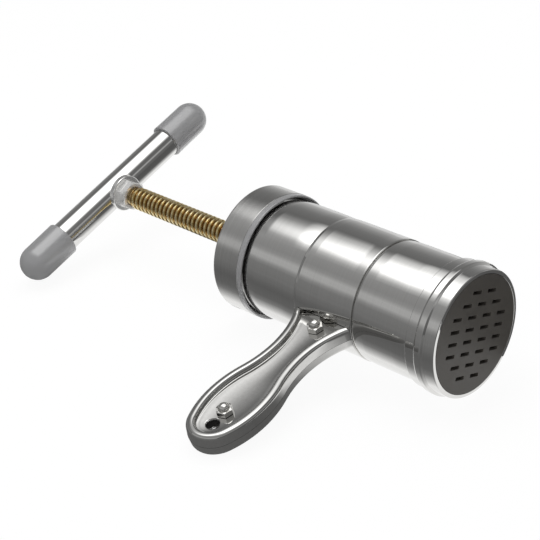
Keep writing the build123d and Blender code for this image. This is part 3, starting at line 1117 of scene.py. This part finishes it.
mouldSize = {
    "face": 28.2,
    "flange": 29.35,
    "thickness": 3.25,
    "step": 2.0,
    "slotLength": 6.2,
    "slotWidth": 1.7,
    "slotPitch": 11.0,
    "rowPitch": 5.72,
    "rows": (2, 3, 4, 4, 4, 4, 3, 2),
    "tilt": -18.4,
    "edge": 0.12,
    "slotRound": 0.3,
    "slotSteps": 4,
    "overlap": 0.2,
}
m = mouldSize


def mouldCurve(name, radius, back, front, finish):
    # a filled curve: a round edge and a rounded oblong for each slot
    curve = bpy.data.curves.new(name, "CURVE")
    curve.dimensions = "2D"
    curve.fill_mode = "BOTH"
    curve.resolution_u = 32
    curve.extrude = ((front - back) / 2 - m["edge"]) * mm
    curve.bevel_depth = m["edge"] * mm
    curve.bevel_resolution = 2
    curve.offset = -m["edge"] * mm

    def addLoop(points):
        spline = curve.splines.new("POLY")
        spline.points.add(len(points) - 1)
        for point, (x, y) in zip(spline.points, points):
            point.co = (x * mm, y * mm, 0, 1)
        spline.use_cyclic_u = True

    turns = [2 * math.pi * k / fineSegments for k in range(fineSegments)]
    addLoop([(radius * math.cos(turn), radius * math.sin(turn)) for turn in turns])
    tilt = math.radians(m["tilt"])
    corner = m["slotRound"]
    reachX, reachY = m["slotLength"] / 2 - corner, m["slotWidth"] / 2 - corner
    for row, count in enumerate(m["rows"]):
        for column in range(count):
            across = (column - (count - 1) / 2) * m["slotPitch"]
            down = ((len(m["rows"]) - 1) / 2 - row) * m["rowPitch"]
            loop = []
            for cornerX, cornerY, first in ((1, 1, 0), (-1, 1, 90), (-1, -1, 180), (1, -1, 270)):
                for k in range(m["slotSteps"] + 1):
                    turn = math.radians(first + 90 * k / m["slotSteps"])
                    x = across + cornerX * reachX + corner * math.cos(turn)
                    y = down + cornerY * reachY + corner * math.sin(turn)
                    loop.append((
                        x * math.cos(tilt) - y * math.sin(tilt),
                        x * math.sin(tilt) + y * math.cos(tilt),
                    ))
            addLoop(list(reversed(loop)))
    plate = bpy.data.objects.new(name, curve)
    bpy.context.scene.collection.objects.link(plate)
    curve.materials.append(finish)
    # the curve's own x and y become the press's y and z
    turned = Matrix(((0, 0, 1), (1, 0, 0), (0, 1, 0))).to_4x4()
    turned.translation = Vector(((front + back) / 2 * mm, 0, 0))
    bpy.context.view_layer.update()
    mesh = bpy.data.meshes.new_from_object(
        plate.evaluated_get(bpy.context.evaluated_depsgraph_get())
    )
    bpy.data.objects.remove(plate)
    mesh.transform(turned)
    solid = bpy.data.objects.new(name, mesh)
    bpy.context.scene.collection.objects.link(solid)
    return solid


mouldFace = mouldCurve("mould_face", m["face"], -m["thickness"], 0, mouldCoat)
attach(mouldFace, "mould")
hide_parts("mould_disc")
mouldFlange = turnedPiece(
    "mould_flange",
    [
        (-m["thickness"], m["face"] - m["overlap"], 0),
        (-m["thickness"], m["flange"], 0.2),
        (-m["thickness"] + m["step"], m["flange"], 0.2),
        (-m["thickness"] + m["step"], m["face"] - m["overlap"], 0),
    ],
    mouldCoat,
)
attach(mouldFlange, "mould")
print("mould made")


# floor, light tent and lamps

studio = {
    "floorHeight": -31.75,
    "floorHalf": 3.0,
    "floorWhite": 0.86,
    "floorRoughness": 0.9,
    "shadowShare": 0.1,
    "floorGlow": 1.03,
    "tentRadius": 1.25,
    "tentHalf": 3.0,
    "softboxHeight": 0.87,
    "softboxGlow": 2.3,
    "wallHalf": 1.3,
    "leftWall": -1.4,
    "rightWall": 0.9,
    "worldFill": 0.42,
    "lampTarget": (-0.12, 0, 0),
}
lampSizes = {
    "key lamp": {"power": 7.5, "size": (1.4, 0.8), "place": (-0.35, 0.1, 1.15)},
    "fill lamp": {"power": 3.0, "size": (0.9, 0.9), "place": (0.8, -0.9, 0.7)},
}


def whiteForEye(nodes, links):
    # 1 where the camera, a reflection or a see-through ray looks
    path = nodes.new("ShaderNodeLightPath")
    first = addMath(nodes, "MAXIMUM")
    second = addMath(nodes, "MAXIMUM")
    links.new(path.outputs["Is Camera Ray"], first.inputs[0])
    links.new(path.outputs["Is Glossy Ray"], first.inputs[1])
    links.new(first.outputs["Value"], second.inputs[0])
    links.new(path.outputs["Is Transmission Ray"], second.inputs[1])
    return second.outputs["Value"]


def mixShaders(nodes, links, amount, first, second, output="Material Output"):
    mix = nodes.new("ShaderNodeMixShader")
    links.new(amount, mix.inputs["Fac"])
    links.new(first, mix.inputs[1])
    links.new(second, mix.inputs[2])
    links.new(mix.outputs["Shader"], nodes[output].inputs["Surface"])


def stagePiece(name, bm, finish):
    mesh = bpy.data.meshes.new(name)
    bm.to_mesh(mesh)
    bm.free()
    mesh.materials.append(finish)
    piece = bpy.data.objects.new(name, mesh)
    scene.collection.objects.link(piece)
    return piece


def makeFloor():
    finish, nodes, links = newMaterial("white floor")
    shader = nodes["Principled BSDF"]
    shader.inputs["Base Color"].default_value = (studio["floorWhite"],) * 3 + (1,)
    shader.inputs["Roughness"].default_value = studio["floorRoughness"]
    shader.inputs["Specular IOR Level"].default_value = 0.0
    glow = nodes.new("ShaderNodeEmission")
    glow.inputs["Strength"].default_value = studio["floorGlow"]
    amount = addMath(nodes, "MULTIPLY")
    amount.inputs[1].default_value = 1 - studio["shadowShare"]
    links.new(whiteForEye(nodes, links), amount.inputs[0])
    mixShaders(
        nodes, links, amount.outputs["Value"], shader.outputs["BSDF"], glow.outputs["Emission"]
    )
    bm = bmesh.new()
    bmesh.ops.create_grid(bm, x_segments=2, y_segments=2, size=studio["floorHalf"])
    floor = stagePiece("floor", bm, finish)
    floor.location = (0, 0, studio["floorHeight"] * mm)


# cloth panels round the x axis: (degrees from straight up towards +y, brightness)
tentPanels = [
    (-94, 0.20), (-80, 0.22), (-74, 0.30), (-68, 0.46), (-60, 0.47), (-53, 0.33), (-46, 0.29),
    (-36, 0.31), (-28, 0.34), (-16, 0.30), (0, 0.22), (16, 0.15), (30, 0.14), (40, 0.17),
    (51, 0.19), (60, 0.22), (72, 0.31), (84, 0.44), (94, 0.56),
]
# the cloth on the table in front of the barrel: (millimetres along y, brightness)
clothPanels = [
    (-1300, 0.20), (-300, 0.20), (-140, 0.17), (-80, 0.13), (-50, 0.15), (-40, 0.24),
    (-32, 0.60), (-26, 1.0),
]
# the cloths beside the T handle, left of it and behind the barrel: (millimetres, brightness); the
# dark one beside the T handle is painted shadow near the object and dark surroundings further off
sideShadowPanels = [(-225, 1.0), (-210, 0.55), (-185, 0.14), (-150, 0.11), (1000, 0.10)]
leftPanels = [(-1500, 0.24), (-330, 0.26), (-290, 0.4), (-270, 0.9)]
backPanels = [(125, 0.95), (150, 0.72), (1300, 0.6)]
# the softbox overhead fades towards its edges: (millimetres along x or y, share of its glow)
softboxAlong = [
    (-960, 0.0), (-900, 0.08), (-830, 0.20), (-790, 0.33), (-756, 0.475), (-730, 0.56),
    (-680, 0.72), (-600, 1.0), (30, 1.0), (110, 0.8), (160, 0.55), (220, 0.3), (350, 0.0),
]
softboxAcross = [
    (-520, 0.0), (-400, 0.12), (-290, 0.34), (-150, 0.92), (-40, 1.0), (40, 0.92),
    (160, 0.68), (320, 0.42), (440, 0.33), (540, 0.2), (680, 0.0),
]
# the walls at both ends: (millimetres up, brightness)
leftWallPanels = [(-40, 0.24), (120, 0.26), (420, 0.21), (900, 0.19)]
rightWallPanels = [
    (-40, 0.10), (160, 0.14), (440, 0.16), (570, 0.42), (680, 0.42), (800, 0.17), (1000, 0.16),
]
# the cloths on the table, darker on the right behind the object, as painted shadow of the object
# near it and dark surroundings further off, and pale grey on the left:
# piece, finish, lift over the floor, edges as (y, left, right), panels and their axis
tableCloths = [
    ("table_cloth", "grey cloth", 0.2, [(-1300, -2200, 1000), (-26, -2200, 1000)],
     clothPanels, "Y"),
    # painted shadow: this dark sheet beside and behind the object stands in for its shadow on the
    # floor, seen in reflections
    ("side_shadow_cloth", "dark shadow cloth", 0.2,
     [(-15, -225, -136), (33, -225, -136), (34, -225, 1000), (120, -225, 1000),
      (150, -100, 1000), (1200, 0, 1000)],
     sideShadowPanels, "X"),
    ("back_cloth", "pale cloth", 0.3, [(125, -1500, -110), (1300, -1500, -110)],
     backPanels, "Y"),
    ("left_cloth", "left cloth", 0.2, [(-120, -1500, -270), (124, -1500, -270)],
     leftPanels, "X"),
]


def panelShade(nodes, links, value, panels, unit):
    # the brightness at a place, going softly from panel to panel
    low, high = panels[0][0], panels[-1][0]
    ramp = nodes.new("ShaderNodeValToRGB")
    stops = ramp.color_ramp.elements
    stops.remove(stops[1])
    for number, (where, grey) in enumerate(panels):
        share = (where - low) / (high - low)
        stop = stops[0] if number == 0 else stops.new(share)
        stop.position = share
        stop.color = (grey, grey, grey, 1)
    links.new(addRange(nodes, links, value, low * unit, high * unit), ramp.inputs["Fac"])
    return ramp.outputs["Color"]


def reflectionFinish(name, panels, axis=""):
    # a glow in panels along an axis, or else round the x axis
    finish, nodes, links = newMaterial(name)
    nodes.remove(nodes["Principled BSDF"])
    parts = splitPlace(nodes, links)[1]
    if axis:
        shade = panelShade(nodes, links, parts[axis], panels, mm)
    else:
        turn = addMath(nodes, "ARCTAN2")
        links.new(parts["Y"], turn.inputs[0])
        links.new(parts["Z"], turn.inputs[1])
        shade = panelShade(nodes, links, turn.outputs["Value"], panels, math.radians(1))
    glow = nodes.new("ShaderNodeEmission")
    links.new(shade, glow.inputs["Color"])
    links.new(glow.outputs["Emission"], nodes["Material Output"].inputs["Surface"])
    return finish


def stageSheet(name, rows, finish):
    # a strip of cloth through pairs of points, seen only in reflections
    bm = bmesh.new()
    placed = [[bm.verts.new(point) for point in row] for row in rows]
    for first, second in zip(placed, placed[1:]):
        bm.faces.new((first[0], first[1], second[1], second[0]))
    sheet = stagePiece(name, bm, finish)
    sheet.visible_camera = False
    sheet.visible_diffuse = False
    sheet.visible_shadow = False


def softboxFinish():
    # a glowing cloth that fades out towards its four edges
    finish, nodes, links = newMaterial("softbox cloth")
    nodes.remove(nodes["Principled BSDF"])
    parts = splitPlace(nodes, links)[1]
    both = addMath(nodes, "MULTIPLY")
    for number, (axis, panels) in enumerate((("X", softboxAlong), ("Y", softboxAcross))):
        links.new(panelShade(nodes, links, parts[axis], panels, mm), both.inputs[number])
    clear = nodes.new("ShaderNodeBsdfTransparent")
    glow = nodes.new("ShaderNodeEmission")
    glow.inputs["Strength"].default_value = studio["softboxGlow"]
    mixShaders(
        nodes, links, both.outputs["Value"], clear.outputs["BSDF"], glow.outputs["Emission"]
    )
    return finish


def makeTent():
    half, radius = studio["tentHalf"], studio["tentRadius"]
    rows = []
    for degrees in range(tentPanels[0][0], tentPanels[-1][0] + 1, 2):
        turn = math.radians(degrees)
        y, z = radius * math.sin(turn), radius * math.cos(turn)
        rows.append([(-half, y, z), (half, y, z)])
    stageSheet("light_tent", rows, reflectionFinish("tent cloth", tentPanels))
    for name, clothName, lift, edges, panels, axis in tableCloths:
        height = studio["floorHeight"] + lift
        rows = [
            [(left * mm, y * mm, height * mm), (right * mm, y * mm, height * mm)]
            for y, left, right in edges
        ]
        stageSheet(name, rows, reflectionFinish(clothName, panels, axis))
    half = studio["wallHalf"]
    for name, x, panels in (
        ("left_wall", studio["leftWall"], leftWallPanels),
        ("right_wall", studio["rightWall"], rightWallPanels),
    ):
        rows = [[(x, -half, z * mm), (x, half, z * mm)] for z in (panels[0][0], panels[-1][0])]
        stageSheet(name, rows, reflectionFinish(name + " cloth", panels, "Z"))
    left, right = softboxAlong[0][0] * mm, softboxAlong[-1][0] * mm
    height = studio["softboxHeight"]
    rows = [
        [(left, y * mm, height), (right, y * mm, height)]
        for y in (softboxAcross[0][0], softboxAcross[-1][0])
    ]
    stageSheet("softbox", rows, softboxFinish())


def makeWorld():
    world = bpy.data.worlds.new("studio")
    scene.world = world
    world.use_nodes = True
    nodes, links = world.node_tree.nodes, world.node_tree.links
    light = nodes["Background"]
    light.inputs["Strength"].default_value = studio["worldFill"]
    light.inputs["Color"].default_value = (1, 1, 1, 1)
    white = nodes.new("ShaderNodeBackground")
    white.inputs["Color"].default_value = (1, 1, 1, 1)
    mixShaders(
        nodes, links, whiteForEye(nodes, links),
        light.outputs["Background"], white.outputs["Background"], "World Output",
    )


def makeLamp(name, lampSize):
    data = bpy.data.lights.new(name, "AREA")
    data.energy = lampSize["power"]
    data.shape = "RECTANGLE"
    data.size, data.size_y = lampSize["size"]
    lamp = bpy.data.objects.new(name, data)
    lamp.location = lampSize["place"]
    aim = Vector(studio["lampTarget"]) - Vector(lampSize["place"])
    lamp.rotation_euler = aim.to_track_quat("-Z", "Y").to_euler()
    lamp.visible_glossy = False
    scene.collection.objects.link(lamp)


scene = bpy.context.scene
scene.view_settings.view_transform = "Standard"
makeFloor()
makeTent()
makeWorld()
for name, lampSize in lampSizes.items():
    makeLamp(name, lampSize)
print("studio made")


# camera, from the place that the photograph was taken

cameraSettings = {
    "lens": 106.67,
    "sensor": 36,
    "location": (0.36640, -0.48372, 0.37261),
    "turn": (60.912, 3.320, 43.703),
}
eye = bpy.data.cameras.new("camera")
eye.lens = cameraSettings["lens"]
eye.sensor_width = cameraSettings["sensor"]
camera = bpy.data.objects.new("camera", eye)
camera.location = cameraSettings["location"]
camera.rotation_euler = [math.radians(angle) for angle in cameraSettings["turn"]]
scene.collection.objects.link(camera)
scene.camera = camera

print("camera set")
